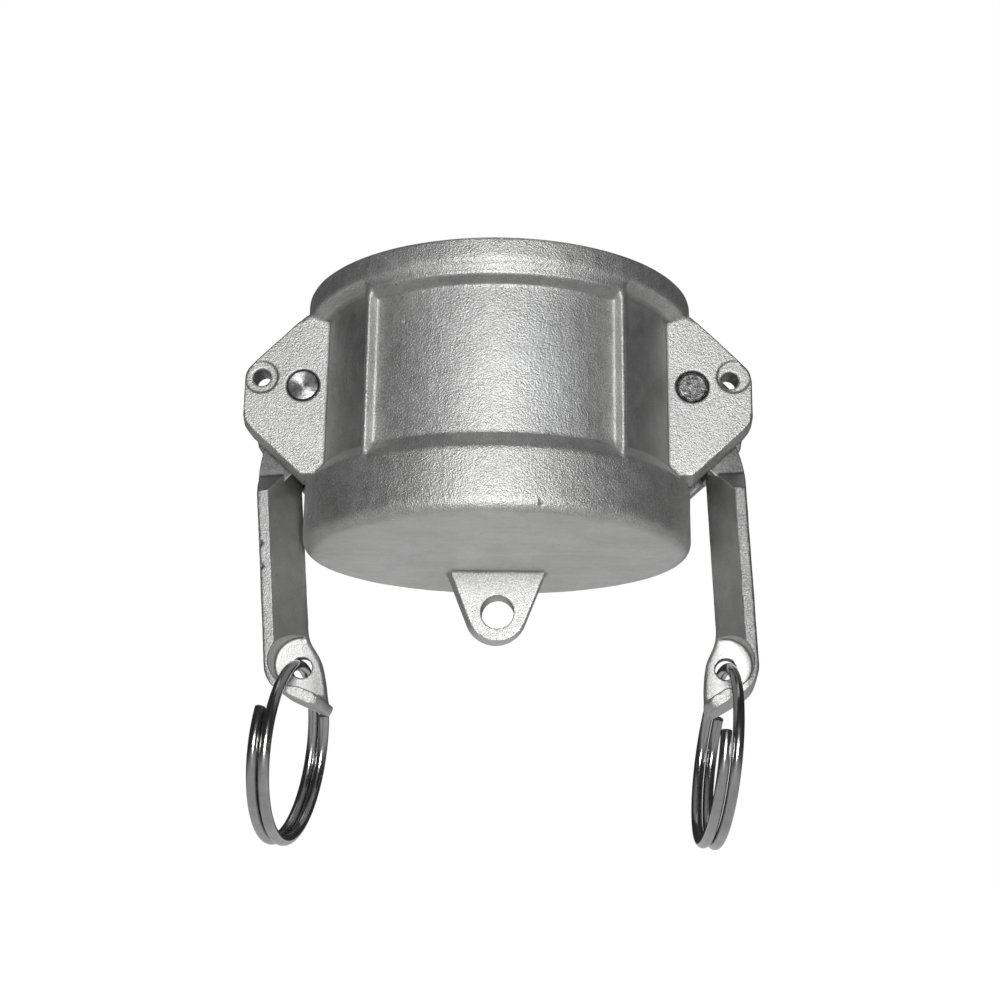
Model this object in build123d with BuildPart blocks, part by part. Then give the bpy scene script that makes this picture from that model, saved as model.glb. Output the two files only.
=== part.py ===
from build123d import *
import os
from math import sin, cos, radians, degrees, atan2, asin, sqrt

os.makedirs("parts", exist_ok=True)

# Dust cap for a two inch cam and groove adapter, millimetres.
# Origin: centre of the mouth. +Z out of the mouth, +Y to the chain lug side,
# arms on -X (left) and +X (right).

# ---- cup ----
body_height = 52.4
band_radius = 39.0          # lower band and ribs
mouth_band_radius = 39.65
waist_radius = 36.0
panel_radius = 37.0
bottom_band = 12.9          # height of the lower band at the side recesses
bottom_slope = 16.2
top_slope = 46.3
top_band = 47.6
foot_round = 2.8
lip_round = 0.5
closed_face = -body_height
rib_half_width = 24.6       # outer wall of the ribs, measured along X
panel_az = 37.3             # panel floor ends here
crest_az = 37.6             # crest of the rib
panel_low, panel_low_band = 15.5, 12.4
panel_high, panel_high_band = 44.1, 45.7

# ---- inside ----
bore_radius = 32.0
mouth_radius = 32.45
mouth_depth = 8.0
gasket_seat = 8.0
groove_radius = 33.2
groove_top = 14.6
recess_radius = 24.4
recess_floor = 5.6
gasket_outer = 32.95
gasket_inner = 25.0
gasket_height = 6.35

# ---- ears ----
pivot_x = 38.9
pivot_z = 32.8
ear_inner_y = 5.7
ear_mid_y = 9.4
ear_face_y = 12.2
ear_draft = 0.6
safety_x, safety_z = 46.9, 34.5
safety_r = 1.75
spot_r = 3.4
spot_depth = 0.35
ear_corner_r = 3.6
pin_r = 3.2
window_half = 5.7
window_low, window_high = 21.4, 44.4

# ---- chain lug ----
lug_mid_y = 14.6
lug_half = 3.3
lug_draft = 0.5
lug_shift = 0.4             # the rear half of the casting sits this far to the left
lug_root_half = 10.0
lug_hole_z = -8.7
lug_hole_r = 3.45
lug_round_r = 6.1

# ---- arms ----
arm_bore_r = pin_r + 0.05
arm_half = 5.4
blade_half = 9.3
outer_face = 10.6
strip = 2.3
ridge_face = 3.0
ridge_half = 2.0
web_half = 1.6
ring_hole_out, ring_hole_down = 4.35, 55.1
ring_hole_r = 2.05
pocket_r = 5.3
pocket_down = 54.4
bend_angle = 61.3           # the end of the strip turns inward through this
bend_outer_r = 6.0
bend_down = 55.2
end_run = 8.0
left_tilt = 5.2
right_tilt = -2.3
right_twist = -6.5          # the right blade is turned this much about its length

# ---- pull rings ----
ring_r = 16.9
ring_wire = 1.07
ring_pitch = 2.25
# wire ends, as angles from the top: near side, far side
left_ring_near, left_ring_far = 66.6, 58.0
right_ring_near, right_ring_far = 80.0, 58.0
left_ring_sag, right_ring_sag = -0.6, -0.25   # wire centre under the hole centre
left_ring_twist, left_ring_tilt, left_ring_out = -7.6, 5.3, 0.42
right_ring_twist, right_ring_tilt, right_ring_out = 3.4, 7.2, 0.15


def z(h):
    # height above the closed face, as a Z of the part
    return closed_face + h


# the safety pin holes are drilled a little off the corner of each ear
left_safety = (-47.3, z(34.5))
right_safety = (46.4, z(34.2))
right_spot = (47.1, z(34.9))

# ================= body casting =================
foot = foot_round * (1 - cos(radians(45)))
lip = lip_round * (1 - cos(radians(45)))

with BuildPart() as panel_cut:
    # a trapezoid ring, then kept only between two slanted side walls
    with BuildSketch(Plane.XZ):
        with BuildLine():
            Polyline(
                (panel_radius, z(panel_low)),
                (panel_radius, z(panel_high)),
                (mouth_band_radius, z(panel_high_band)),
                (mouth_band_radius + 2, z(panel_high_band + 1.6)),
                (mouth_band_radius + 2, z(panel_low_band - 4.1)),
                (band_radius, z(panel_low_band)),
                close=True,
            )
        make_face()
    revolve(axis=Axis.Z)
    a0, a1 = radians(panel_az), radians(crest_az)
    p0 = (panel_radius * sin(a0), -panel_radius * cos(a0))
    p1 = (band_radius * sin(a1), -band_radius * cos(a1))
    t = 1.8
    p2 = (p1[0] + t * (p1[0] - p0[0]), p1[1] + t * (p1[1] - p0[1]))
    pin0 = (p0[0] - 0.8 * (p1[0] - p0[0]), p0[1] - 0.8 * (p1[1] - p0[1]))
    with BuildSketch(Plane.XY.offset(closed_face)):
        with BuildLine():
            Polyline(
                (-pin0[0], pin0[1]), (-p2[0], p2[1]), (-p2[0], -band_radius - 6),
                (p2[0], -band_radius - 6), p2, pin0, close=True,
            )
        make_face()
    extrude(amount=body_height, mode=Mode.INTERSECT)
    mirror(about=Plane.XZ)

# one ear, right front, then its three reflections
with BuildPart() as ears:
    with BuildSketch(Plane.XZ.offset(ear_mid_y)) as ear_sketch:
        with BuildLine():
            # outline of the front face
            c = (safety_x, z(safety_z))
            Polyline(
                (30.0, z(16.5)), (33.7, z(16.5)), (35.9, z(14.4)), (38.6, z(14.4)),
                (48.9, z(23.9)), (50.1, z(25.4)), (safety_x + ear_corner_r, z(27.4)),
                (safety_x + ear_corner_r, z(safety_z)),
                (safety_x + ear_corner_r * 0.72, z(safety_z + ear_corner_r * 0.694)),
                (38.7, z(47.8)), (35.7, z(47.8)), (33.9, z(46.5)), (30.0, z(46.5)),
                close=True,
            )
        make_face()
        with Locations(c):
            Circle(ear_corner_r)
        offset(amount=ear_draft, kind=Kind.INTERSECTION)
    extrude(amount=ear_face_y - ear_mid_y, taper=degrees(atan2(ear_draft, ear_face_y - ear_mid_y)))
    extrude(ear_sketch.sketch, amount=-(ear_mid_y - ear_inner_y))
    mirror(about=Plane.YZ)
    mirror(about=Plane.XZ)

# chain lug, drafted both ways from its mid plane
with BuildPart() as lug:
    # straight flanks, tangent to the round end, widened a little at the root
    h = -lug_hole_z
    d = sqrt(lug_root_half ** 2 + h ** 2)
    ang = atan2(lug_root_half, h) - asin(lug_round_r / d)
    tl = sqrt(d * d - lug_round_r ** 2)
    tx = lug_root_half - tl * sin(ang)
    tz = -tl * cos(ang)
    with BuildSketch(Plane.XZ.offset(-lug_mid_y)) as lug_middle:
        with BuildLine():
            Polyline(
                (-lug_root_half - lug_shift - 0.4, z(1.5)), (-lug_root_half - lug_shift, z(0)),
                (-tx - lug_shift, z(tz)), (-lug_shift, z(tz + 0.5)), (tx - lug_shift, z(tz)),
                (lug_root_half - lug_shift, z(0)), (lug_root_half - lug_shift + 0.4, z(1.5)), close=True,
            )
        make_face()
        with Locations((-lug_shift, z(lug_hole_z))):
            Circle(lug_round_r)
        offset(amount=lug_draft, kind=Kind.INTERSECTION)
    with BuildSketch(Plane.XZ.offset(-lug_mid_y + lug_half)) as lug_front:
        with BuildLine():
            Polyline(
                (-lug_root_half - 0.4, z(1.5)), (-lug_root_half, z(0)), (-tx, z(tz)),
                (0, z(tz + 0.5)),
                (tx, z(tz)), (lug_root_half, z(0)), (lug_root_half + 0.4, z(1.5)), close=True,
            )
        make_face()
        with Locations((0, z(lug_hole_z))):
            Circle(lug_round_r)
    loft(ruled=True)
    extrude(lug_middle.sketch, amount=-lug_half, taper=degrees(atan2(lug_draft, lug_half)))

with BuildPart() as body:
    # turned outline
    with BuildSketch(Plane.XZ):
        with BuildLine():
            Polyline((0, z(0)), (band_radius - foot_round, z(0)))
            ThreePointArc(
                (band_radius - foot_round, z(0)),
                (band_radius - foot, z(foot)),
                (band_radius, z(foot_round)),
            )
            Polyline(
                (band_radius, z(foot_round)), (band_radius, z(bottom_band)),
                (waist_radius, z(bottom_slope)), (waist_radius, z(top_slope)),
                (mouth_band_radius, z(top_band)), (mouth_band_radius, -lip_round),
            )
            ThreePointArc(
                (mouth_band_radius, -lip_round), (mouth_band_radius - lip, -lip),
                (mouth_band_radius - lip_round, 0),
            )
            Polyline((mouth_band_radius - lip_round, 0), (0, 0), (0, z(0)))
        make_face()
    revolve(axis=Axis.Z)
    # front and rear blocks that carry the panels, flush with the bands
    with BuildSketch(Plane.XY.offset(z(bottom_band - 2))):
        Circle(band_radius)
        Rectangle(2 * rib_half_width, 4 * band_radius, mode=Mode.INTERSECT)
    extrude(amount=top_band - bottom_band + 4)
    add(panel_cut.part, mode=Mode.SUBTRACT)
    add(ears.part)
    add(lug.part)
    # socket, gasket groove and the recess of the closed end
    with BuildSketch(Plane.XZ):
        with BuildLine():
            Polyline(
                (0, z(recess_floor)), (recess_radius - 1.5, z(recess_floor)),
                (recess_radius, z(gasket_seat)), (groove_radius, z(gasket_seat)),
                (groove_radius, z(groove_top)), (bore_radius, z(groove_top)),
                (bore_radius, -mouth_depth), (mouth_radius, -mouth_depth),
                (mouth_radius, 3), (0, 3), close=True,
            )
        make_face()
    revolve(axis=Axis.Z, mode=Mode.SUBTRACT)
    # cam windows between the ears
    with BuildSketch(Plane.YZ.offset(-60)):
        with Locations((0, z((window_low + window_high) / 2))):
            RectangleRounded(2 * window_half, window_high - window_low, 1.5)
    extrude(amount=120, mode=Mode.SUBTRACT)
    # hinge pin bores, safety pin holes with their spot faces, chain hole
    with Locations(Plane.XZ.offset(-30)):
        with Locations((-pivot_x, z(pivot_z)), (pivot_x, z(pivot_z))):
            Cylinder(pin_r, 60, align=(Align.CENTER, Align.CENTER, Align.MIN), mode=Mode.SUBTRACT)
        with Locations(left_safety, right_safety):
            Cylinder(safety_r, 60, align=(Align.CENTER, Align.CENTER, Align.MIN), mode=Mode.SUBTRACT)
        with Locations((0, z(lug_hole_z))):
            Cylinder(lug_hole_r, 25, align=(Align.CENTER, Align.CENTER, Align.MIN), mode=Mode.SUBTRACT)
    for side in (-1, 1):
        with Locations(Plane.XZ.offset(ear_face_y - spot_depth)):
            with Locations(left_safety if side < 0 else right_spot):
                Cylinder(spot_r, 3, align=(Align.CENTER, Align.CENTER, Align.MIN), mode=Mode.SUBTRACT)
        with Locations(Plane.XZ.offset(-ear_face_y + spot_depth)):
            with Locations(left_safety if side < 0 else right_spot):
                Cylinder(spot_r, 3, align=(Align.CENTER, Align.CENTER, Align.MAX), mode=Mode.SUBTRACT)
        # small lead-in around each end of the hinge pin
        with Locations(Plane.XZ.offset(ear_face_y - 0.3)):
            with Locations((side * pivot_x, z(pivot_z))):
                Cone(pin_r, pin_r + 0.35, 0.35, align=(Align.CENTER, Align.CENTER, Align.MIN), mode=Mode.SUBTRACT)
        with Locations(Plane.XZ.offset(-ear_face_y + 0.3)):
            with Locations((side * pivot_x, z(pivot_z))):
                Cone(pin_r + 0.35, pin_r, 0.35, align=(Align.CENTER, Align.CENTER, Align.MAX), mode=Mode.SUBTRACT)
body.part.label = "body"
export_step(body.part, "parts/body.step")

# ================= gasket =================
with BuildPart() as gasket:
    with BuildSketch(Plane.XZ):
        with Locations(((gasket_inner + gasket_outer) / 2, z(gasket_seat + gasket_height / 2))):
            RectangleRounded(gasket_outer - gasket_inner, gasket_height, 0.5)
    revolve(axis=Axis.Z)
gasket.part.label = "gasket"
export_step(gasket.part, "parts/gasket.step")

# ================= hinge pins =================
pin_face = ear_face_y - 0.02
with BuildPart() as left_hinge_pin:
    with BuildSketch(Plane.XZ.offset(-pin_face)):
        with Locations((-pivot_x, z(pivot_z))):
            Circle(pin_r)
    extrude(amount=2 * pin_face)
    chamfer(left_hinge_pin.edges().filter_by(GeomType.CIRCLE), 0.35)
    # turned centre mark in the front end
    with Locations(Plane.XZ.offset(pin_face - 0.6)):
        with Locations((-pivot_x, z(pivot_z))):
            Cone(0.15, 0.9, 0.62, align=(Align.CENTER, Align.CENTER, Align.MIN), mode=Mode.SUBTRACT)
left_hinge_pin.part.label = "left_hinge_pin"
export_step(left_hinge_pin.part, "parts/left_hinge_pin.step")

with BuildPart() as right_hinge_pin:
    with BuildSketch(Plane.XZ.offset(-pin_face)):
        with Locations((pivot_x, z(pivot_z))):
            Circle(pin_r)
    extrude(amount=2 * pin_face)
    chamfer(right_hinge_pin.edges().filter_by(GeomType.CIRCLE), 0.35)
    # this pin went in from the other side, so its turned end faces the rear
    with Locations(Plane.XZ.offset(-pin_face + 0.6)):
        with Locations((pivot_x, z(pivot_z))):
            Cone(0.9, 0.15, 0.62, align=(Align.CENTER, Align.CENTER, Align.MAX), mode=Mode.SUBTRACT)
right_hinge_pin.part.label = "right_hinge_pin"
export_step(right_hinge_pin.part, "parts/right_hinge_pin.step")

# ================= cam arm =================
# Drawn about its pivot with the outer face upright: X is the distance
# outward from the pivot, Z the height. Right hand arm.
end_a = radians(90 - bend_angle)
mid_a = radians((90 - bend_angle + 90) / 2)
bend_inner_r = bend_outer_r - strip
bend_x = outer_face - bend_outer_r


def on_bend(r, a, run=0.0):
    # a point on the bend, then along the straight end
    return (bend_x + r * sin(a) - run * cos(end_a) * (a == end_a),
            -bend_down - r * cos(a) - run * sin(end_a) * (a == end_a))


with BuildPart() as strip_bar:
    # full width outer strip with its inturned end
    with BuildSketch(Plane.XZ.offset(-blade_half)):
        with BuildLine():
            Polyline((outer_face - strip, -12.0), (outer_face, -12.0), (outer_face, -bend_down))
            ThreePointArc((outer_face, -bend_down), on_bend(bend_outer_r, mid_a), on_bend(bend_outer_r, end_a))
            Polyline(
                on_bend(bend_outer_r, end_a), on_bend(bend_outer_r, end_a, end_run),
                on_bend(bend_inner_r, end_a, end_run), on_bend(bend_inner_r, end_a),
            )
            ThreePointArc(on_bend(bend_inner_r, end_a), on_bend(bend_inner_r, mid_a), (outer_face - strip, -bend_down))
            Line((outer_face - strip, -bend_down), (outer_face - strip, -12.0))
        make_face()
    extrude(amount=2 * blade_half)
    tip = on_bend((bend_outer_r + bend_inner_r) / 2, end_a, end_run)
    tip_edges = [e for e in strip_bar.edges().filter_by(GeomType.LINE)
                 if abs(e.length - strip) < 0.01 and (e.center() - Vector(tip[0], e.center().Y, tip[1])).length < 0.1]
    fillet(tip_edges, 2.2)

with BuildPart() as ridge:
    # thick middle of the blade, sloping to the strip on both sides
    with BuildSketch(Plane.XY.offset(-bend_down)):
        with BuildLine():
            Polyline(
                (outer_face - 0.9, -blade_half + 0.001), (outer_face - strip, -blade_half + 0.001),
                (ridge_face + 0.6, -ridge_half - 0.6), (ridge_face, -ridge_half + 0.6),
                (ridge_face, ridge_half - 0.6), (ridge_face + 0.6, ridge_half + 0.6),
                (outer_face - strip, blade_half - 0.001), (outer_face - 0.9, blade_half - 0.001),
                close=True,
            )
        make_face()
    extrude(amount=bend_down - 12.0)

with BuildPart() as web:
    # thin web in the crook of the end, with the ring hole
    with BuildSketch(Plane.XZ.offset(-web_half)):
        with BuildLine():
            Spline(
                (ridge_face, -46.5), (2.5, -50.0), (0.8, -53.4), (-0.1, -57.8), (-0.3, -61.9),
                tangents=[(0, -1), (0, -1)],
            )
            Polyline((-0.3, -61.9), (1.4, -62.6), (6.0, -60.2), (9.2, -55.5), (9.2, -44.0), (ridge_face, -44.0), (ridge_face, -46.5))
        make_face()
    extrude(amount=2 * web_half)

with BuildPart() as blade:
    add(strip_bar.part)
    add(ridge.part)
    # pocket around the ring hole, down to the web, from both sides
    with Locations(Plane.XZ.offset(web_half)):
        with Locations((ring_hole_out, -pocket_down)):
            Cylinder(pocket_r, 12, align=(Align.CENTER, Align.CENTER, Align.MIN), mode=Mode.SUBTRACT)
    with Locations(Plane.XZ.offset(-web_half)):
        with Locations((ring_hole_out, -pocket_down)):
            Cylinder(pocket_r, 12, align=(Align.CENTER, Align.CENTER, Align.MAX), mode=Mode.SUBTRACT)
    add(web.part)
    with Locations(Plane.XZ.offset(-20)):
        with Locations((ring_hole_out, -ring_hole_down)):
            Cylinder(ring_hole_r, 40, align=(Align.CENTER, Align.CENTER, Align.MIN), mode=Mode.SUBTRACT)

with BuildPart() as head:
    # barrel, cam nose and neck, left over size on the outer side
    with BuildSketch(Plane.XZ.offset(-arm_half)):
        with BuildLine():
            Polyline(
                (ridge_face, -15.5), (outer_face - strip, -20.4), (outer_face + 3, -20.4),
                (outer_face + 3, -6.0), (7.6, -6.0), (5.62, -1.4),
            )
            ThreePointArc((5.62, -1.4), (4.1, 4.1), (-1.2, 5.67))
            Line((-1.2, 5.67), (-7.6, 4.4))
            ThreePointArc((-7.6, 4.4), (-10.4, 0.6), (-9.4, -4.0))
            Line((-9.4, -4.0), (-5.2, -7.3))
            ThreePointArc((-5.2, -7.3), (0.6, -9.8), (ridge_face, -15.5))
        make_face()
    extrude(amount=2 * arm_half)

with BuildPart() as outer_skin:
    # everything inside the outer curve of the arm
    with BuildSketch(Plane.XZ.offset(-14)):
        with BuildLine():
            Line((outer_face, -24.0), (outer_face, -22.0))
            ThreePointArc((outer_face, -22.0), (10.2, -13.5), (8.4, -8.3))
            Polyline((8.4, -8.3), (5.0, 0.2), (5.0, 12), (-16, 12), (-16, -75), (14, -75), (14, -24.0), (outer_face, -24.0))
        make_face()
    extrude(amount=28)

with BuildPart() as barrel:
    # the round head about the pin, kept whole
    with BuildSketch(Plane.XZ.offset(-arm_half)):
        Circle(5.795)
    extrude(amount=2 * arm_half)

with BuildPart() as shoulders:
    # where the wide blade narrows to go between the ears
    with BuildSketch(Plane.YZ.offset(-15)):
        for side in (-1, 1):
            with BuildLine():
                Polyline(
                    (side * arm_half, -16.4), (side * blade_half, -20.2), (side * 14, -20.2),
                    (side * 14, 10), (side * arm_half, 10), close=True,
                )
            make_face()
    extrude(amount=32)

with BuildPart() as straight_arm:
    add(head.part)
    add(blade.part)
    add(outer_skin.part, mode=Mode.INTERSECT)
    add(barrel.part)
    add(shoulders.part, mode=Mode.SUBTRACT)
    with Locations(Plane.XZ.offset(-20)):
        Cylinder(arm_bore_r, 40, align=(Align.CENTER, Align.CENTER, Align.MIN), mode=Mode.SUBTRACT)

turned = Location((ridge_face, 0, 0), (0, 0, right_twist)) * Location((-ridge_face, 0, 0))
with BuildPart() as twisted_arm:
    add(head.part)
    with Locations(turned):
        add(blade.part)
        add(outer_skin.part, mode=Mode.INTERSECT)
    add(barrel.part)
    add(shoulders.part, mode=Mode.SUBTRACT)
    with Locations(Plane.XZ.offset(-20)):
        Cylinder(arm_bore_r, 40, align=(Align.CENTER, Align.CENTER, Align.MIN), mode=Mode.SUBTRACT)

with BuildPart() as left_cam_arm:
    with Locations(Location((-pivot_x, 0, z(pivot_z)), (0, -left_tilt, 0))):
        add(mirror(straight_arm.part, about=Plane.YZ, mode=Mode.PRIVATE))
left_cam_arm.part.label = "left_cam_arm"
export_step(left_cam_arm.part, "parts/left_cam_arm.step")

with BuildPart() as right_cam_arm:
    with Locations(Location((pivot_x, 0, z(pivot_z)), (0, right_tilt, 0))):
        add(twisted_arm.part)
right_cam_arm.part.label = "right_cam_arm"
export_step(right_cam_arm.part, "parts/right_cam_arm.step")

# ================= pull rings =================
# One coiled wire. The coil axis is X, and the origin is the wire centre at the
# top, where it passes the hole. The near end lies on the -X coil.


def hang(side, tilt, shift, sag):
    # wire centre where the ring hangs in the hole of the tilted arm
    a = radians(tilt)
    out = ring_hole_out * cos(a) - ring_hole_down * sin(a)
    down = ring_hole_down * cos(a) + ring_hole_out * sin(a)
    return (side * (pivot_x + out + shift), 0, z(pivot_z) - down - sag)


def coil_plane(near):
    # start of the coil, turned so that its wire begins at the near end
    return Plane(
        origin=(-ring_pitch * (360 - near) / 360, 0, -ring_r),
        x_dir=(0, -sin(radians(near)), cos(radians(near))),
        z_dir=(1, 0, 0),
    )


with BuildPart() as left_coil:
    with BuildLine() as left_wire:
        Helix(ring_pitch, ring_pitch * (720 - left_ring_near - left_ring_far) / 360, ring_r)
    with BuildSketch(Plane(origin=left_wire.line @ 0, z_dir=left_wire.line % 0)):
        Circle(ring_wire)
    sweep(path=left_wire.line, is_frenet=True)

with BuildPart() as right_coil:
    with BuildLine() as right_wire:
        Helix(ring_pitch, ring_pitch * (720 - right_ring_near - right_ring_far) / 360, ring_r)
    with BuildSketch(Plane(origin=right_wire.line @ 0, z_dir=right_wire.line % 0)):
        Circle(ring_wire)
    sweep(path=right_wire.line, is_frenet=True)

left_hang = (Location(hang(-1, left_tilt, left_ring_out, left_ring_sag), (0, 0, left_ring_twist))
             * Location((0, 0, 0), (0, left_ring_tilt, 0)))
right_hang = (Location(hang(1, right_tilt, right_ring_out, right_ring_sag), (0, 0, right_ring_twist))
              * Location((0, 0, 0), (0, right_ring_tilt, 0)))

with BuildPart() as left_pull_ring:
    with Locations(left_hang * coil_plane(left_ring_near).location):
        add(left_coil.part)
left_pull_ring.part.label = "left_pull_ring"
export_step(left_pull_ring.part, "parts/left_pull_ring.step")

with BuildPart() as right_pull_ring:
    with Locations(right_hang * coil_plane(right_ring_near).location):
        add(right_coil.part)
right_pull_ring.part.label = "right_pull_ring"
export_step(right_pull_ring.part, "parts/right_pull_ring.step")
print("left ring top", hang(-1, left_tilt, left_ring_out, left_ring_sag))
print("right ring top", hang(1, right_tilt, right_ring_out, right_ring_sag))
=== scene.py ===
import math

import bmesh
import bpy
import numpy as np
from mathutils import Matrix, Vector


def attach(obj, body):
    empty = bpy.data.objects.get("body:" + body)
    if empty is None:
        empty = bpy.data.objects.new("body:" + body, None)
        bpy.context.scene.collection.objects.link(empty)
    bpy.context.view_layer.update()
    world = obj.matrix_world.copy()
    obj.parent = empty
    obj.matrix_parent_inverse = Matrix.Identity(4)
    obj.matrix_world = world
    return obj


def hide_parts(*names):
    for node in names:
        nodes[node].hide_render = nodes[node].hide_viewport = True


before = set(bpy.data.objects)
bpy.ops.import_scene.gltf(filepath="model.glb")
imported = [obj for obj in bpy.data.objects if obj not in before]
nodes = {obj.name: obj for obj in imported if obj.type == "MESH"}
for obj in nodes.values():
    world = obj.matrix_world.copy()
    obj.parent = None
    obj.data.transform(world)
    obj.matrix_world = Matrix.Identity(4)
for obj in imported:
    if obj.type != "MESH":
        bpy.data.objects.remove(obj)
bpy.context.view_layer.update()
scene = bpy.context.scene
MM = 0.001
H = 52.4


def zz(h):
    """Height above the closed face, mm, as a Z of the row frame, metres."""
    return (h - H) * MM


# ------------------------------------------------------------------ camera
def look_camera():
    """Long lens a little under the object, looking up at its front."""
    dist, elev, roll = 300.0, math.radians(-17.15), math.radians(0.67)
    focal = 4.839 * 300
    mid = 52.36 / 2
    target = Vector((0.31, 0.0, mid - 13.74))
    eye = Vector((0.0, -math.cos(elev) * dist, mid + math.sin(elev) * dist))
    fw = (target - eye).normalized()
    right = fw.cross(Vector((0, 0, 1))).normalized()
    up = right.cross(fw)
    r2 = math.cos(roll) * right + math.sin(roll) * up
    u2 = -math.sin(roll) * right + math.cos(roll) * up
    m = Matrix((r2, u2, -fw)).transposed().to_4x4()
    m.translation = eye
    # the object stands turned by 1.4 degrees and a quarter of a millimetre to the left
    back = Matrix.Rotation(math.radians(1.4), 4, "Z") @ Matrix.Translation((0.25, 0, 0))
    m = back @ m
    m.translation = m.translation * MM + Vector((0, 0, -H * MM))
    data = bpy.data.cameras.new("camera")
    data.sensor_width = 36.0
    data.lens = focal * 36.0 / 1000.0
    data.clip_start, data.clip_end = 0.01, 20.0
    data.dof.use_dof = False
    cam = bpy.data.objects.new("camera", data)
    scene.collection.objects.link(cam)
    cam.matrix_world = m
    scene.camera = cam
    return cam


camera = look_camera()


# ------------------------------------------------------------------ materials
class Graph:
    """Small helper that builds a node tree in a few lines."""

    def __init__(self, name):
        self.mat = bpy.data.materials.new(name)
        self.mat.use_nodes = True
        self.t = self.mat.node_tree
        self.t.nodes.clear()
        self.out = self.t.nodes.new("ShaderNodeOutputMaterial")
        self.bsdf = self.t.nodes.new("ShaderNodeBsdfPrincipled")
        self.t.links.new(self.bsdf.outputs[0], self.out.inputs[0])
        self.coord = self.t.nodes.new("ShaderNodeTexCoord").outputs["Object"]

    def link(self, a, b):
        self.t.links.new(a, b)

    def noise(self, scale, detail=2.0, rough=0.5, distortion=0.0, vector=None, kind="NOISE"):
        n = self.t.nodes.new("ShaderNodeTexNoise")
        n.inputs["Scale"].default_value = scale
        n.inputs["Detail"].default_value = detail
        n.inputs["Roughness"].default_value = rough
        n.inputs["Distortion"].default_value = distortion
        self.link(vector or self.coord, n.inputs["Vector"])
        return n.outputs["Fac"]

    def voronoi(self, scale, feature="F1", vector=None, randomness=1.0):
        n = self.t.nodes.new("ShaderNodeTexVoronoi")
        n.feature = feature
        n.inputs["Scale"].default_value = scale
        n.inputs["Randomness"].default_value = randomness
        self.link(vector or self.coord, n.inputs["Vector"])
        return n.outputs["Distance"]

    def math(self, op, a, b=0.0, c=0.0, clamp=False):
        n = self.t.nodes.new("ShaderNodeMath")
        n.operation = op
        n.use_clamp = clamp
        for i, v in enumerate((a, b, c)):
            if isinstance(v, (int, float)):
                n.inputs[i].default_value = v
            else:
                self.link(v, n.inputs[i])
        return n.outputs[0]

    def ramp(self, fac, *stops):
        n = self.t.nodes.new("ShaderNodeValToRGB")
        els = n.color_ramp.elements
        while len(els) > 1:
            els.remove(els[0])
        els[0].position = stops[0][0]
        els[0].color = self._col(stops[0][1])
        for p, c in stops[1:]:
            e = els.new(p)
            e.color = self._col(c)
        self.link(fac, n.inputs[0])
        return n.outputs[0]

    @staticmethod
    def _col(c):
        return (c, c, c, 1.0) if isinstance(c, (int, float)) else (*c, 1.0)

    def maprange(self, v, a, b, c, d, smooth=False):
        n = self.t.nodes.new("ShaderNodeMapRange")
        n.interpolation_type = "SMOOTHSTEP" if smooth else "LINEAR"
        self.link(v, n.inputs["Value"])
        for k, x in zip(("From Min", "From Max", "To Min", "To Max"), (a, b, c, d)):
            n.inputs[k].default_value = x
        return n.outputs[0]

    def mixc(self, fac, a, b, blend="MIX"):
        n = self.t.nodes.new("ShaderNodeMix")
        n.data_type = "RGBA"
        n.blend_type = blend
        for sock, v in ((n.inputs[0], fac), (n.inputs[6], a), (n.inputs[7], b)):
            if isinstance(v, (int, float)):
                sock.default_value = v if sock.type == "VALUE" else self._col(v)
            elif isinstance(v, tuple):
                sock.default_value = self._col(v)
            else:
                self.link(v, sock)
        return n.outputs[2]

    def bump(self, height, distance, strength=1.0, normal=None):
        n = self.t.nodes.new("ShaderNodeBump")
        n.inputs["Strength"].default_value = strength
        n.inputs["Distance"].default_value = distance
        self.link(height, n.inputs["Height"])
        if normal is not None:
            self.link(normal, n.inputs["Normal"])
        return n.outputs[0]

    def attr(self, name):
        n = self.t.nodes.new("ShaderNodeAttribute")
        n.attribute_type = "GEOMETRY"
        n.attribute_name = name
        return n.outputs["Fac"]

    def axis(self, which):
        n = self.t.nodes.new("ShaderNodeSeparateXYZ")
        self.link(self.coord, n.inputs[0])
        return n.outputs[which]

    def set(self, **kw):
        for k, v in kw.items():
            sock = self.bsdf.inputs[k.replace("_", " ")]
            if isinstance(v, (int, float)):
                sock.default_value = v if sock.type == "VALUE" else self._col(v)
            elif isinstance(v, tuple):
                sock.default_value = self._col(v)
            else:
                self.link(v, sock)


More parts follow.
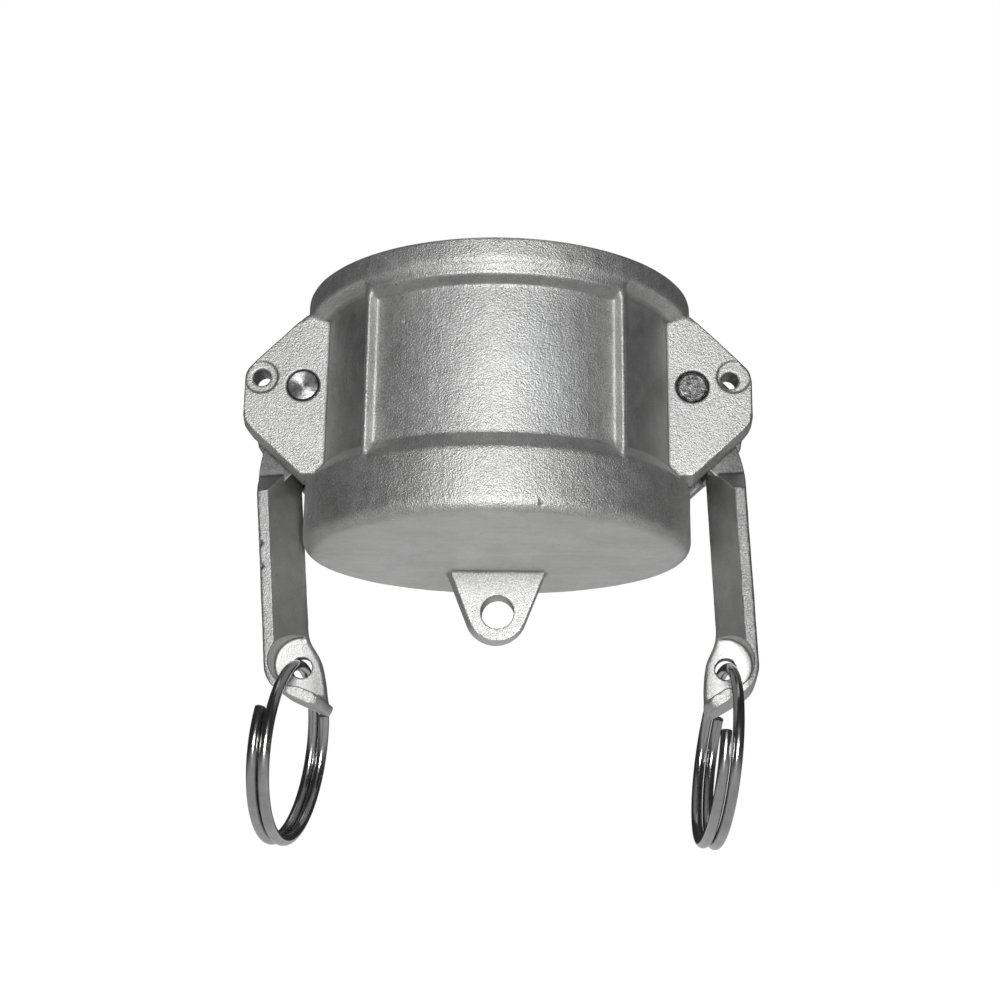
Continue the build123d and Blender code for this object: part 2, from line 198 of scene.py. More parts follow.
def cast_metal(name, base, rough, grain=1.0, side_tone=0.0):
    """Shot blasted casting. Vertex masks: grit (blasted grain), turned (tool marks),
    edge (rubbed corners), cav (painted shade in corners and pits), tone (local lightness, partly painted shade)."""
    g = Graph(name)
    grit, turned, edge, cav, tone_m = (g.attr(k) for k in ("grit", "turned", "edge", "cav", "tone"))
    fine = g.noise(4300, 1.0, 0.5)
    mid = g.noise(2100, 1.0, 0.5)
    cells = g.voronoi(3000)
    coarse = g.noise(420, 3.0, 0.55)
    broad = g.noise(60, 3.0, 0.55)
    h = g.math("ADD", g.math("MULTIPLY", fine, 0.75), g.math("MULTIPLY", mid, 0.8))
    h = g.math("ADD", h, g.math("MULTIPLY", cells, 0.55))
    h = g.math("MULTIPLY", h, g.maprange(grit, 0.0, 1.0, 0.10, 1.0))
    # tool marks follow the axis of the cup
    sep = g.t.nodes.new("ShaderNodeSeparateXYZ")
    g.link(g.coord, sep.inputs[0])
    rad = g.math("SQRT", g.math("ADD", g.math("POWER", sep.outputs[0], 2.0), g.math("POWER", sep.outputs[1], 2.0)))
    lay = g.math("ADD", rad, sep.outputs[2])
    groove = g.math("SINE", g.math("MULTIPLY", lay, 2 * math.pi / 0.00042))
    groove = g.math("ADD", g.math("MULTIPLY", groove, 0.10), g.math("MULTIPLY", g.noise(1.0, 2.0, 0.5, vector=lay_vec(g, lay)), 0.5))
    h = g.math("ADD", h, g.math("MULTIPLY", groove, turned))
    n1 = g.bump(g.math("ADD", coarse, g.math("MULTIPLY", broad, 1.2)), 0.000022 * grain, 1.0)
    n2 = g.bump(h, 0.000085 * grain, 1.0, n1)
    # colour: broad stains, fine speckle, a few dark pits, painted shade in corners and pits from cav, rubbed edges
    tone = g.math("ADD", g.maprange(broad, 0.3, 0.7, -0.05, 0.05), g.maprange(coarse, 0.3, 0.7, -0.035, 0.035))
    speck = g.math("ADD", g.maprange(fine, 0.25, 0.75, -0.13, 0.13), g.maprange(cells, 0.1, 0.8, 0.07, -0.07))
    tone = g.math("ADD", tone, g.math("MULTIPLY", speck, g.maprange(grit, 0, 1, 0.25, 1.0)))
    tone = g.math("ADD", tone, tone_m)
    pits_and_corner_shade = g.maprange(g.voronoi(170), 0.020, 0.042, 0.5, 1.0, smooth=True)
    # painted shade: cav darkens the colour in corners, hollows and casting pits
    pits_and_corner_shade = g.math("MULTIPLY", pits_and_corner_shade, g.maprange(g.math("MULTIPLY", cav, g.maprange(coarse, 0.35, 0.6, 0.7, 1.0)), 0, 1, 1.0, 0.55))
    col = g.math("MULTIPLY", g.math("ADD", tone, base), pits_and_corner_shade)
    col = g.math("ADD", col, g.math("MULTIPLY", edge, 0.06))
    rgh = g.math("ADD", g.maprange(grit, 0, 1, rough - 0.05, rough), g.maprange(coarse, 0.3, 0.7, -0.03, 0.03))
    rgh = g.math("ADD", rgh, g.math("MULTIPLY", cav, 0.10))
    rgh = g.math("SUBTRACT", rgh, g.math("MULTIPLY", edge, 0.05))
    rgh = g.math("SUBTRACT", rgh, g.math("MULTIPLY", turned, 0.20))
    g.set(Base_Color=g.ramp(col, (0.0, (0, 0, 0)), (1.0, (1.0, 1.0, 0.995))), Metallic=1.0, Roughness=rgh, Normal=n2)
    return g.mat


def lay_vec(g, v):
    """A vector that changes only with the value, for streaks that run along a lathe cut."""
    c = g.t.nodes.new("ShaderNodeCombineXYZ")
    g.link(g.math("MULTIPLY", v, 2400.0), c.inputs[0])
    return c.outputs[0]


def pin_metal(name, worn):
    """Turned pin end, or a dark hammered one."""
    g = Graph(name)
    dark = g.attr("dark")
    streak = g.noise(300, 3.0, 0.6)
    blot = g.noise(900, 3.0, 0.6)
    tan = g.t.nodes.new("ShaderNodeTangent")
    tan.direction_type = "RADIAL"
    tan.axis = "Y"
    if worn:
        tone = g.maprange(blot, 0.35, 0.65, 0.09, 0.30)
        bump = g.bump(g.math("ADD", blot, g.math("MULTIPLY", g.noise(2600, 2, 0.5), 0.5)), 0.00022)
        g.set(Roughness=g.maprange(blot, 0.3, 0.7, 0.55, 0.40))
    else:
        tone = g.math("MULTIPLY", g.maprange(streak, 0.35, 0.65, 0.40, 0.56), g.maprange(blot, 0.35, 0.6, 0.7, 1.0))
        rings = g.noise(1.0, 2.0, 0.5, vector=ring_vec(g))
        bump = g.bump(g.math("ADD", rings, g.math("MULTIPLY", blot, 0.9)), 0.00006)
        g.set(Roughness=g.maprange(streak, 0.3, 0.7, 0.32, 0.44), Anisotropic=0.75, Anisotropic_Rotation=0.25)
        g.link(tan.outputs[0], g.bsdf.inputs["Tangent"])
    # painted shade: the dark mask darkens the rim where the pin meets its hole
    col = g.math("MULTIPLY", tone, g.maprange(dark, 0, 1, 1.0, 0.22))
    g.set(Base_Color=g.ramp(col, (0.0, (0, 0, 0)), (1.0, (1, 1, 1))), Metallic=1.0, Normal=bump)
    return g.mat


def ring_vec(g):
    """Distance from the pin's own axis, as a vector."""
    sep = g.t.nodes.new("ShaderNodeSeparateXYZ")
    g.link(g.coord, sep.inputs[0])
    rad = g.math("SQRT", g.math("ADD", g.math("POWER", sep.outputs[0], 2.0), g.math("POWER", sep.outputs[2], 2.0)))
    return lay_vec(g, rad)


def ring_metal():
    g = Graph("ring_steel")
    smear = g.noise(260, 3.0, 0.6)
    draw = g.noise(1500, 2.0, 0.5)
    spot = g.maprange(g.voronoi(420), 0.05, 0.12, 0.75, 1.0, smooth=True)
    end = g.attr("dark")
    tone = g.math("MULTIPLY", g.maprange(smear, 0.3, 0.7, 0.40, 0.54), spot)
    tone = g.math("MULTIPLY", tone, g.maprange(end, 0, 1, 1.0, 0.6))
    g.set(Base_Color=g.ramp(tone, (0.0, (0, 0, 0)), (1.0, (1, 1, 1))), Metallic=1.0,
          Roughness=g.math("ADD", g.maprange(smear, 0.3, 0.7, 0.13, 0.24), g.math("MULTIPLY", end, 0.3)),
          Normal=g.bump(g.math("ADD", smear, g.math("MULTIPLY", draw, 0.12)), 0.00003))
    return g.mat


def rubber():
    g = Graph("black_rubber")
    dust = g.noise(120, 4.0, 0.6)
    fine = g.noise(2500, 2.0, 0.5)
    g.set(Base_Color=g.ramp(dust, (0.35, (0.018, 0.018, 0.018)), (0.7, (0.042, 0.041, 0.040))),
          Roughness=g.maprange(dust, 0.3, 0.7, 0.55, 0.75), Normal=g.bump(fine, 0.00004))
    return g.mat


# ------------------------------------------------------------------ meshes
def own_copy(node, name):
    """A new object with a copy of a CAD node's surface in the row frame."""
    src = nodes[node]
    me = src.data.copy()
    me.name = name
    ob = bpy.data.objects.new(name, me)
    scene.collection.objects.link(ob)
    ob.matrix_world = src.matrix_world.copy()
    me.materials.clear()
    return ob


def apply_modifiers(ob):
    dg = bpy.context.evaluated_depsgraph_get()
    me = bpy.data.meshes.new_from_object(ob.evaluated_get(dg))
    ob.modifiers.clear()
    old = ob.data
    ob.data = me
    bpy.data.meshes.remove(old)


def remesh(ob, voxel):
    m = ob.modifiers.new("remesh", "REMESH")
    m.mode = "VOXEL"
    m.voxel_size = voxel
    m.use_smooth_shade = True
    apply_modifiers(ob)


def verts(ob):
    a = np.empty(len(ob.data.vertices) * 3, np.float32)
    ob.data.vertices.foreach_get("co", a)
    return a.reshape(-1, 3).astype(np.float64)


def put(ob, v):
    ob.data.vertices.foreach_set("co", v.astype(np.float32).ravel())
    ob.data.update()


def normals(ob):
    a = np.empty(len(ob.data.vertices) * 3, np.float32)
    ob.data.vertex_normals.foreach_get("vector", a)
    return a.reshape(-1, 3).astype(np.float64)


def edges(ob):
    e = np.empty(len(ob.data.edges) * 2, np.int32)
    ob.data.edges.foreach_get("vertices", e)
    return e.reshape(-1, 2)


def relax(ob, steps, weight=None, lam=0.5, mu=-0.53):
    """Taubin smoothing, which rounds edges without shrinking the casting."""
    v = verts(ob)
    e = edges(ob)
    n = len(v)
    deg = np.bincount(e.ravel(), minlength=n).astype(float)
    deg[deg == 0] = 1
    w = np.ones(n) if weight is None else weight
    for i in range(steps * 2):
        acc = np.zeros_like(v)
        for k in range(3):
            acc[:, k] = (np.bincount(e[:, 0], v[e[:, 1], k], n) + np.bincount(e[:, 1], v[e[:, 0], k], n)) / deg
        f = (lam if i % 2 == 0 else mu) if mu else lam
        v += (f * w)[:, None] * (acc - v)
    put(ob, v)


def set_attr(ob, name, values):
    at = ob.data.attributes.new(name, "FLOAT", "POINT")
    at.data.foreach_set("value", np.asarray(values, np.float32))


def smooth_step(x, a, b):
    t = np.clip((x - a) / (b - a), 0, 1)
    return t * t * (3 - 2 * t)


def neighbour_mean(values, e, n, deg):
    return (np.bincount(e[:, 0], values[e[:, 1]], n) + np.bincount(e[:, 1], values[e[:, 0]], n)) / deg


def blur(values, ob, steps):
    """Average a vertex value over its neighbours."""
    e = edges(ob)
    n = len(values)
    deg = np.bincount(e.ravel(), minlength=n).astype(float)
    deg[deg == 0] = 1
    for _ in range(steps):
        values = 0.5 * values + 0.5 * neighbour_mean(values, e, n, deg)
    return values


TABLE = np.random.RandomState(11).rand(48, 48, 48)


def lumps(p, size):
    """Smooth random value from -1 to 1 in space; p and size in mm."""
    q = p / size
    i = np.floor(q).astype(int)
    f = q - i
    f = f * f * (3 - 2 * f)
    out = np.zeros(len(p))
    for dx in (0, 1):
        for dy in (0, 1):
            for dz in (0, 1):
                w = (f[:, 0] if dx else 1 - f[:, 0]) * (f[:, 1] if dy else 1 - f[:, 1]) * (f[:, 2] if dz else 1 - f[:, 2])
                out += w * TABLE[(i[:, 0] + dx) % 48, (i[:, 1] + dy) % 48, (i[:, 2] + dz) % 48]
    return out * 2 - 1


def corners(ob, near=2, far=8):
    """(edge, cav): how much each vertex stands out of, or lies in, its surroundings."""
    v, n = verts(ob) / MM, normals(ob)
    wide = np.stack([blur(v[:, k], ob, far) for k in range(3)], 1)
    c = ((v - wide) * n).sum(1)
    c = blur(c, ob, near)
    return smooth_step(c, 0.02, 0.11), smooth_step(-c, 0.02, 0.11)


def bands(x, a, b, c, d):
    """1 between b and c, falling to 0 at a and d."""
    return smooth_step(x, a, b) * (1 - smooth_step(x, c, d))


VOX = 0.00027

# small faults of the casting: place, radius and depth in mm, heights from the closed face
PITS = [((8.8, -37.99, 1.9), 0.55, 0.40), ((8.5, -38.06, 2.6), 0.35, 0.2), ((-16.9, -32.9, 38.2), 0.38, 0.24)]

# body ------------------------------------------------------------------
body = own_copy("body", "cast_body")
remesh(body, VOX)
relax(body, 3)

v = verts(body) / MM
x, y, h = v[:, 0], v[:, 1], v[:, 2] + H
ax, ay, rad = np.abs(x), np.abs(y), np.hypot(v[:, 0], v[:, 1])
# the corners of the ribs and of the panels are well rounded in the casting
rib = bands(ax, 20.5, 21.5, 24.6, 25.0) * (ay > 24) * bands(h, 11.5, 13.5, 45.5, 47.2) * (rad > 34)
foot = bands(h, -0.5, 0.2, 2.6, 4.0) * (rad > 35)
top_edge = bands(h, 43.5, 44.5, 46.4, 47.2) * (rad > 36) * (ax < 33)
low_edge = bands(h, 11.2, 12.0, 13.4, 14.6) * (rad > 36) * (ax < 33)
steps = int(round(10 * (0.00027 / VOX) ** 2)) + 2
band_seam = bands(h, 46.2, 46.9, 48.3, 49.4) * (rad > 36.5)
relax(body, steps, weight=np.clip(rib + 0.9 * band_seam + 0.55 * top_edge + 0.5 * low_edge + 0.4 * foot, 0, 1), mu=None)

# masks
v = verts(body) / MM
nrm = normals(body)
x, y, h = v[:, 0], v[:, 1], v[:, 2] + H
ax, ay, rad = np.abs(x), np.abs(y), np.hypot(v[:, 0], v[:, 1])
ny, nz = np.abs(nrm[:, 1]), nrm[:, 2]
inside = (rad < 33.7) & (h > 5.0)
turned = (inside & (h > 7.8)) | ((h > 52.0) & (nz > 0.8))
ear_face = (ay > 11.6) & (ny > 0.9) & (ax > 32.5)
grit = np.ones(len(v))
grit[(ax > 24.4) & (rad < 37.6) & (h > 12.5) & (h < 47.6)] = 0.16
grit[(ax > 33) & (ay < 12.4) & (ny < 0.75) & (rad > 37)] = 0.35
grit[(ax > 30) & (ay < 6.4) & (ny > 0.75)] = 0.4
grit[((h > 12.6) & (h < 15.8) & (nz > 0.35) & (rad > 35)) | ((h > 43.7) & (h < 46.4) & (nz < -0.35) & (rad > 35))] = 0.35
grit[(h < 1.2) & (nz < -0.8) & (ay < 41)] = 0.10
grit[(h < 0.4) & (ny < 0.75) & (nz > -0.8)] = 0.55
grit[(h < -0.3) & (ny > 0.8)] = 1.0
grit[ear_face] = 1.0
grit[turned] = 0.0
grit[inside & (h < 8)] = 0.8
grit = blur(grit, body, 3)
tone = np.zeros(len(v))
tone[ear_face] = -0.03
tone[(h < -0.3) & (ny > 0.8)] = 0.05
# painted shade: the downward facing strip under the top band is darkened
tone[(h > 43.7) & (h < 46.6) & (nz < -0.35) & (rad > 35)] = -0.17
tone[(h < 1.2) & (nz < -0.8)] = 0.03
tone[(h < 1.2) & (nz < -0.8)] += 0.02 * lumps(v[(h < 1.2) & (nz < -0.8)] * (0.15, 1.0, 1.0), 2.0)
# painted shade in the seam round each pin and round the two spot faces
for cx, ch, r0, amount in ((-38.9, 32.8, 3.2, 0.22), (38.9, 32.8, 3.2, 0.22),
                           (-47.3, 34.5, 3.4, 0.30), (47.1, 34.9, 3.4, 0.32)):
    d = np.hypot(x - cx, h - ch)
    tone -= amount * bands(d, r0 - 0.25, r0 - 0.03, r0 + 0.05, r0 + 0.25) * (ay > 11)
tone = blur(tone, body, 1)
edge, cav = corners(body)
edge = edge * (1 - turned)
# the skin is a little uneven
wave = 0.030 * lumps(v, 3.1) + 0.014 * lumps(v + 50, 1.3)
keep = np.clip(1 - turned - (inside & (h > 7.8)), 0, 1) * np.where(ear_face, 0.5, 1.0)
for cx, ch, r0 in ((-38.9, 32.8, 4.2), (38.9, 32.8, 4.2), (-47.3, 34.5, 4.2), (46.7, 34.5, 4.2)):
    keep = keep * np.where((np.hypot(x - cx, h - ch) < r0), 0.0, 1.0)
keep = blur(keep, body, 3)
v += (wave * keep)[:, None] * nrm
# small casting faults: a nick on the lower edge of the band, blow holes in the panel
for (px, py, ph), size, depth in (PITS):
    d = np.sqrt((v[:, 0] - px) ** 2 + (v[:, 1] - py) ** 2 + (v[:, 2] + H - ph) ** 2)
    f = 1 - smooth_step(d, size * 0.3, size)
    v -= (f * depth)[:, None] * nrm
    # painted shade: the pit is darkened through the cav mask
    cav = np.maximum(cav, f)
put(body, v * MM)
for k, w in (("grit", grit), ("turned", blur(turned.astype(float), body, 1)), ("edge", edge), ("cav", cav), ("tone", tone)):
    set_attr(body, k, w)
body.data.materials.append(cast_metal("cast_aluminium", 0.60, 0.575))
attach(body, "shell")
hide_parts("body")

# arms ------------------------------------------------------------------
def arm_frame(v, sign, tilt, twist):
    """Row frame to the arm's own frame: X outward from the pivot, Z up along the blade.
    The last but one pair is turned with the blade."""
    t = math.radians(-tilt if sign < 0 else tilt)
    qx, qz = v[:, 0] - sign * 38.9, v[:, 2] + H - 32.8
    lx = (qx * math.cos(t) - qz * math.sin(t)) * sign
    lz = qx * math.sin(t) + qz * math.cos(t)
    ly = v[:, 1]
    w = math.radians(-twist)
    bx, by = lx - 3.0, ly
    return lx, lz, 3.0 + bx * math.cos(w) - by * math.sin(w), bx * math.sin(w) + by * math.cos(w), ly


arm_mat = cast_metal("arm_metal", 0.56, 0.56, grain=0.8)
for side, sign, tilt, twist in (("left", -1, 5.2, 0.0), ("right", 1, -2.3, -6.5)):
    a = own_copy(side + "_cam_arm", side + "_arm")
    remesh(a, VOX * 0.8)
    relax(a, 4)
    v = verts(a) / MM
    for again in (True, False):
        if not again:
            # the turned in tip and the inner edge of the web are well rounded
            inner = np.interp(-lz, (44, 46.5, 50.0, 53.4, 57.8, 61.9), (3.0, 3.0, 2.5, 0.8, -0.1, -0.3))
            near_tip = 1 - smooth_step(np.hypot(ux + 0.1, lz + 63.3), 1.5, 2.6)
            near_web = bands(-lz, 45.5, 47.5, 60.5, 61.5) * (np.abs(uy) < 2.4) * (1 - smooth_step(ux - inner, 0.9, 1.6))
            near_edge = smooth_step(ux, 9.3, 10.1) * smooth_step(np.abs(uy), 8.0, 8.8) * (lz < -17)
            relax(a, int(round(14 * (0.00027 / VOX) ** 2)) + 2,
                  weight=np.clip(near_tip + near_web + 0.45 * near_edge, 0, 1), mu=None)
            v = verts(a) / MM
        lx, lz, ux, uy, ly = arm_frame(v, sign, tilt, twist)
    nrm = normals(a)
    ny = np.abs(nrm[:, 1])
    low = lz < -18
    strip_side = (np.abs(uy) > 8.7) & (ux > 7.9) & low & (ny > 0.8)
    outer = (ux > 10.0) & low & (ny < 0.6)
    web = (np.abs(uy) < 2.0) & (lz < -45) & (ny > 0.8) & (ux < 9.5)
    grit = np.full(len(v), 0.14)
    grit[outer] = 0.75
    grit[strip_side] = 1.0
    grit[web] = 0.5
    grit[(lz < -56) & (ny > 0.8) & (np.abs(uy) > 8.2)] = 1.0
    tone = np.zeros(len(v))
    tone[web] = (-0.20 + 0.27 * smooth_step(ux, 0.0, 6.0))[web]
    # the right arm's front strip is darkened about twice as much as the left: painted shade for its turned face
    tone[strip_side] = -0.14 if side == "left" else -0.27
    # painted shadow of the ear on the arm's shoulder between the ears
    tone[(ny > 0.8) & (np.abs(ly) < 6.2) & (lz < -6) & (lz > -21) & (lx > 2)] = -0.36
    # the skin beside the strip is stained where the arm is handled
    tone += -0.05 * np.clip(lumps(v, 7.0), 0, 1) * (~strip_side)
    edge, cav = corners(a)
    wave = 0.028 * lumps(v + 20, 2.7) + 0.012 * lumps(v, 1.1)
    bore = np.hypot(lx, lz) < 4.0
    wave = wave * blur(np.where(bore | ((np.abs(ly) > 5.2) & (lz > -14)), 0.0, 1.0), a, 2)
    v += wave[:, None] * nrm
    if side == "left":
        for dz in (-31.0, -35.6):
            d = np.sqrt((ux - 10.3) ** 2 + (uy + 9.2) ** 2 + (lz - dz) ** 2)
            f = 1 - smooth_step(d, 0.2, 0.75)
            v -= (f * 0.35)[:, None] * nrm
            # painted shade: the dent is darkened through the cav mask
            cav = np.maximum(cav, f)
    put(a, v * MM)
    for k, val in (("grit", blur(grit, a, 2)), ("turned", np.zeros(len(v))), ("edge", edge), ("cav", cav), ("tone", blur(tone, a, 2))):
        set_attr(a, k, val)
    a.data.materials.append(arm_mat)
    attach(a, side + "_arm")
    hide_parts(side + "_cam_arm")


# swept and turned pieces -------------------------------------------------
def mesh_object(name, points, faces, origin=(0, 0, 0)):
    me = bpy.data.meshes.new(name)
    me.from_pydata([tuple(p) for p in points], [], faces)
    me.update()
    ob = bpy.data.objects.new(name, me)
    scene.collection.objects.link(ob)
    ob.location = origin
    for p in me.polygons:
        p.use_smooth = True
    return ob


def lathe(name, profile, axis, segs, origin, closed=False):
    """Turn (radius, height) pairs about Y or Z. An open profile starts and ends on the axis."""
    points, faces, rows = [], [], []
    for r, t in profile:
        if r < 1e-9:
            rows.append([len(points)])
            points.append((0, t, 0) if axis == "Y" else (0, 0, t))
            continue
        rows.append(list(range(len(points), len(points) + segs)))
        for k in range(segs):
            a = 2 * math.pi * k / segs
            points.append((r * math.cos(a), t, r * math.sin(a)) if axis == "Y" else (r * math.cos(a), r * math.sin(a), t))
    pairs = list(zip(rows, rows[1:] + rows[:1])) if closed else list(zip(rows, rows[1:]))
    for r0, r1 in pairs:
        for k in range(segs):
            j = (k + 1) % segs
            if len(r0) == 1:
                faces.append((r0[0], r1[j], r1[k]))
            elif len(r1) == 1:
                faces.append((r0[k], r0[j], r1[0]))
            else:
                faces.append((r0[k], r0[j], r1[j], r1[k]))
    if axis == "Z":
        faces = [f[::-1] for f in faces]
    return mesh_object(name, points, faces, origin)


def outward(ob):
    """Turn all faces outward."""
    bm = bmesh.new()
    bm.from_mesh(ob.data)
    bmesh.ops.recalc_face_normals(bm, faces=bm.faces)
    bm.to_mesh(ob.data)
    bm.free()


def pin_profile(hammered):
    """Half outline of one end, from the axis outward, as (radius, depth below the end face)."""
    if hammered:
        p = [(0, 0.10), (0.5, 0.07), (1.0, 0.12), (1.5, 0.06), (2.0, 0.10), (2.35, 0.05), (2.6, 0.02),
             (2.72, 0.10), (2.80, 0.30), (2.90, 0.34), (3.0, 0.16), (3.10, 0.10), (3.17, 0.16), (3.195, 0.30)]
    else:
        p = [(0, 0.60), (0.26, 0.46), (0.52, 0.22), (0.70, 0.04), (0.80, 0.0), (1.4, 0.0), (1.9, 0.0), (2.3, 0.0), (2.70, 0.0),
             (2.88, 0.01), (2.96, 0.06), (3.04, 0.26), (3.10, 0.40), (3.16, 0.44), (3.195, 0.5)]
    return p


def pin(name, cx, front_hammered):
    half = 12.18
    front = [(r, -half + d) for r, d in pin_profile(front_hammered)]
    back = [(r, half - d) for r, d in pin_profile(not front_hammered)][::-1]
    prof = [(r * MM, t * MM) for r, t in front + [(3.195, -6.0), (3.195, 0.0), (3.195, 6.0)] + back]
    ob = lathe(name, prof, "Y", 96, (cx * MM, 0, zz(32.8)))
    v = verts(ob) / MM
    rad = np.hypot(v[:, 0], v[:, 2])
    ham = (v[:, 1] < 0) if front_hammered else (v[:, 1] > 0)
    dent = 0.10 * lumps(v + 9, 0.9) * ham * (rad < 3.05) * (np.abs(v[:, 1]) > 11)
    v[:, 1] -= np.sign(v[:, 1]) * (0.05 * ham * (rad < 3.05) * (np.abs(v[:, 1]) > 11) - np.minimum(dent, 0.0))
    put(ob, v * MM)
    # painted shade: a dark ring in the chamfer where the pin meets its hole
    set_attr(ob, "dark", bands(rad, 2.84, 2.98, 3.5, 3.6) * (np.abs(v[:, 1]) > 11))
    outward(ob)
    ob.data.materials.append(pin_metal(name + "_metal", front_hammered))
    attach(ob, "shell")
    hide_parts(name)
    return ob


def ring(side, top, near, far, twist, tilt):
    """The coiled wire as one clean sweep with cut ends."""
    R, pitch, wire = 16.9, 2.25, 1.07
    steps = 620
    segs = 40
    th = np.radians(np.linspace(-(360 - near), 360 - far, steps))
    c = np.stack([pitch * np.degrees(th) / 360, -R * np.sin(th), R * np.cos(th) - R], 1)
    tan = np.stack([np.full_like(th, pitch / (2 * math.pi)), -R * np.cos(th), -R * np.sin(th)], 1)
    tan /= np.linalg.norm(tan, axis=1)[:, None]
    inward = np.stack([np.zeros_like(th), np.sin(th), -np.cos(th)], 1)
    b = np.cross(tan, inward)
    rot = np.array(Matrix.Rotation(math.radians(twist), 3, "Z") @ Matrix.Rotation(math.radians(tilt), 3, "Y"))
    points, faces = [], []
    rows = [(0, 0.0, 0.001), (0, 0.0, 0.80), (0, 0.0, 0.94)] + [(0, 0.06, 1.0)]
    rows += [(i, 0.0, 1.0) for i in range(1, steps - 1)]
    rows += [(steps - 1, -0.06, 1.0), (steps - 1, 0.0, 0.94), (steps - 1, 0.0, 0.80), (steps - 1, 0.0, 0.001)]
    ends = []
    for i, shift, scale in rows:
        for k in range(segs):
            a = 2 * math.pi * k / segs
            p = c[i] + tan[i] * shift + wire * scale * (math.cos(a) * inward[i] + math.sin(a) * b[i])
            points.append(rot @ p)
            ends.append(1.0 if (i in (0, steps - 1) and scale < 0.97) else 0.0)
    m = len(rows)
    for i in range(m - 1):
        for k in range(segs):
            j = (k + 1) % segs
            faces.append((i * segs + k, i * segs + j, (i + 1) * segs + j, (i + 1) * segs + k))
    faces.append(tuple(range(segs))[::-1])
    faces.append(tuple(range((m - 1) * segs, m * segs)))
    ob = mesh_object(side + "_ring", np.array(points) * MM, faces, tuple(t * MM for t in top))
    outward(ob)
    set_attr(ob, "dark", ends)
    ob.data.materials.append(ring_mat)
    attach(ob, side + "_ring")
    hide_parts(side + "_pull_ring")
    return ob


left_pin = pin("left_hinge_pin", -38.9, False)
right_pin = pin("right_hinge_pin", 38.9, True)
ring_mat = ring_metal()
left_ring = ring("left", (-38.658, 0, -74.267), 66.6, 58.0, -7.6, 5.3)
right_ring = ring("right", (45.608, 0, -74.231), 80.0, 58.0, 3.4, 7.2)

# gasket: square section with rounded corners
lo, hi, ri, ro, c = 8.02, 14.33, 25.02, 32.93, 0.55
prof = []
for cr, ch, a0 in ((ri + c, lo + c, 180), (ro - c, lo + c, 270), (ro - c, hi - c, 0), (ri + c, hi - c, 90)):
    for k in range(6):
        a = math.radians(a0 + 90 * k / 5)
        prof.append((cr + c * math.cos(a), ch + c * math.sin(a)))
seal = lathe("seal", [(r * MM, zz(t)) for r, t in prof], "Z", 180, (0, 0, 0), closed=True)
outward(seal)
seal.data.materials.append(rubber())
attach(seal, "shell")
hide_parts("gasket")


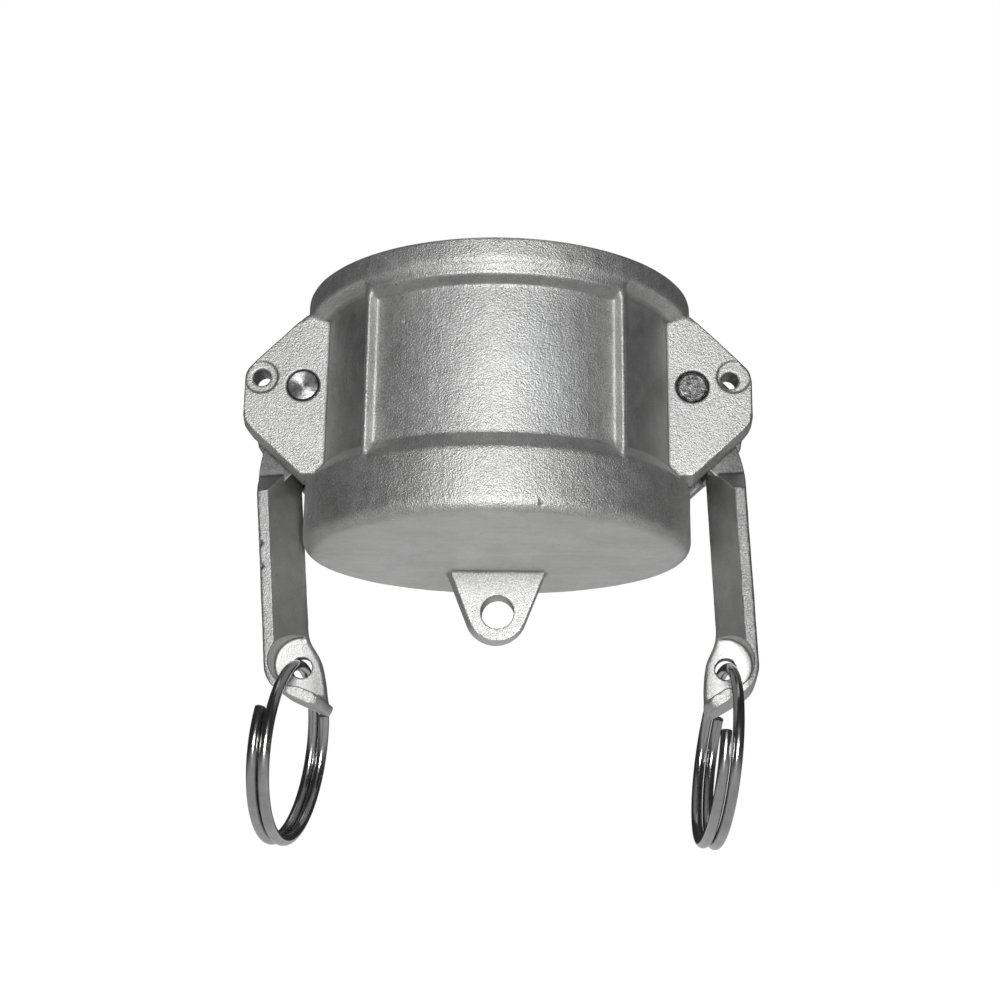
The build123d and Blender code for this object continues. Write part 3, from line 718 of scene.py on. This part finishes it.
# ------------------------------------------------------------------ stage
def add_floor():
    """Pale table. It reads as paper white to the camera and lights the underside softly."""
    me = bpy.data.meshes.new("floor")
    bm = bmesh.new()
    bmesh.ops.create_grid(bm, x_segments=8, y_segments=8, size=3.0)
    bm.to_mesh(me)
    bm.free()
    ob = bpy.data.objects.new("floor", me)
    ob.location = (0, 0, -0.128)
    scene.collection.objects.link(ob)
    g = Graph("floor_paint")
    g.set(Base_Color=g.ramp(g.noise(3, 2, 0.5), (0.3, 0.86), (0.7, 0.90)), Roughness=0.95)
    add = lambda kind: g.t.nodes.new(kind)
    seen, lit = add("ShaderNodeEmission"), add("ShaderNodeEmission")
    seen.inputs[1].default_value = 1.12
    # the pale pool of light lies under and behind the cap and fades outward
    sep = add("ShaderNodeSeparateXYZ")
    g.link(g.coord, sep.inputs[0])
    dx = g.math("MULTIPLY", sep.outputs[0], 1 / 0.22)
    dy = g.math("MULTIPLY", g.math("SUBTRACT", sep.outputs[1], 0.20), 1 / 0.34)
    far = g.math("SQRT", g.math("ADD", g.math("MULTIPLY", dx, dx), g.math("MULTIPLY", dy, dy)))
    g.link(g.maprange(far, 0.3, 1.7, 0.64, 0.12, smooth=True), lit.inputs[1])
    m1, m2, m3, lp = add("ShaderNodeMixShader"), add("ShaderNodeMixShader"), add("ShaderNodeMixShader"), add("ShaderNodeLightPath")
    m1.inputs[0].default_value = 0.06
    m2.inputs[0].default_value = 0.10
    g.link(seen.outputs[0], m1.inputs[1])
    g.link(g.bsdf.outputs[0], m1.inputs[2])
    g.link(lit.outputs[0], m2.inputs[1])
    g.link(g.bsdf.outputs[0], m2.inputs[2])
    g.link(lp.outputs["Is Camera Ray"], m3.inputs[0])
    g.link(m2.outputs[0], m3.inputs[1])
    g.link(m1.outputs[0], m3.inputs[2])
    g.link(m3.outputs[0], g.out.inputs[0])
    me.materials.append(g.mat)
    return ob


floor = add_floor()


def area(name, pos, target, size, power, size_y=None):
    l = bpy.data.lights.new(name, "AREA")
    l.shape = "RECTANGLE" if size_y else "SQUARE"
    l.size = size
    if size_y:
        l.size_y = size_y
    l.energy = power
    ob = bpy.data.objects.new(name, l)
    scene.collection.objects.link(ob)
    ob.location = pos
    d = Vector(target) - Vector(pos)
    ob.rotation_euler = d.to_track_quat("-Z", "Y").to_euler()
    return ob


def add_world():
    w = bpy.data.worlds.new("studio")
    scene.world = w
    w.use_nodes = True
    t = w.node_tree
    t.nodes.clear()
    out = t.nodes.new("ShaderNodeOutputWorld")
    cam_bg = t.nodes.new("ShaderNodeBackground")
    cam_bg.inputs[0].default_value = (1, 1, 1, 1)
    cam_bg.inputs[1].default_value = 1.0
    env = t.nodes.new("ShaderNodeBackground")
    env.inputs[0].default_value = (1, 1, 1, 1)
    env.inputs[1].default_value = 0.04
    mix = t.nodes.new("ShaderNodeMixShader")
    lp = t.nodes.new("ShaderNodeLightPath")
    t.links.new(lp.outputs["Is Camera Ray"], mix.inputs[0])
    t.links.new(env.outputs[0], mix.inputs[1])
    t.links.new(cam_bg.outputs[0], mix.inputs[2])
    t.links.new(mix.outputs[0], out.inputs[0])


add_world()
centre = (0.0, 0.0, -0.04)
area("key", (0.02, -0.62, -0.085), centre, 0.20, 3.9)
area("top", (0.0, 0.05, 0.9), centre, 0.7, 0.9)

scene.view_settings.view_transform = "Standard"
scene.view_settings.look = "None"
scene.view_settings.exposure = 0.0
scene.view_settings.gamma = 1.0
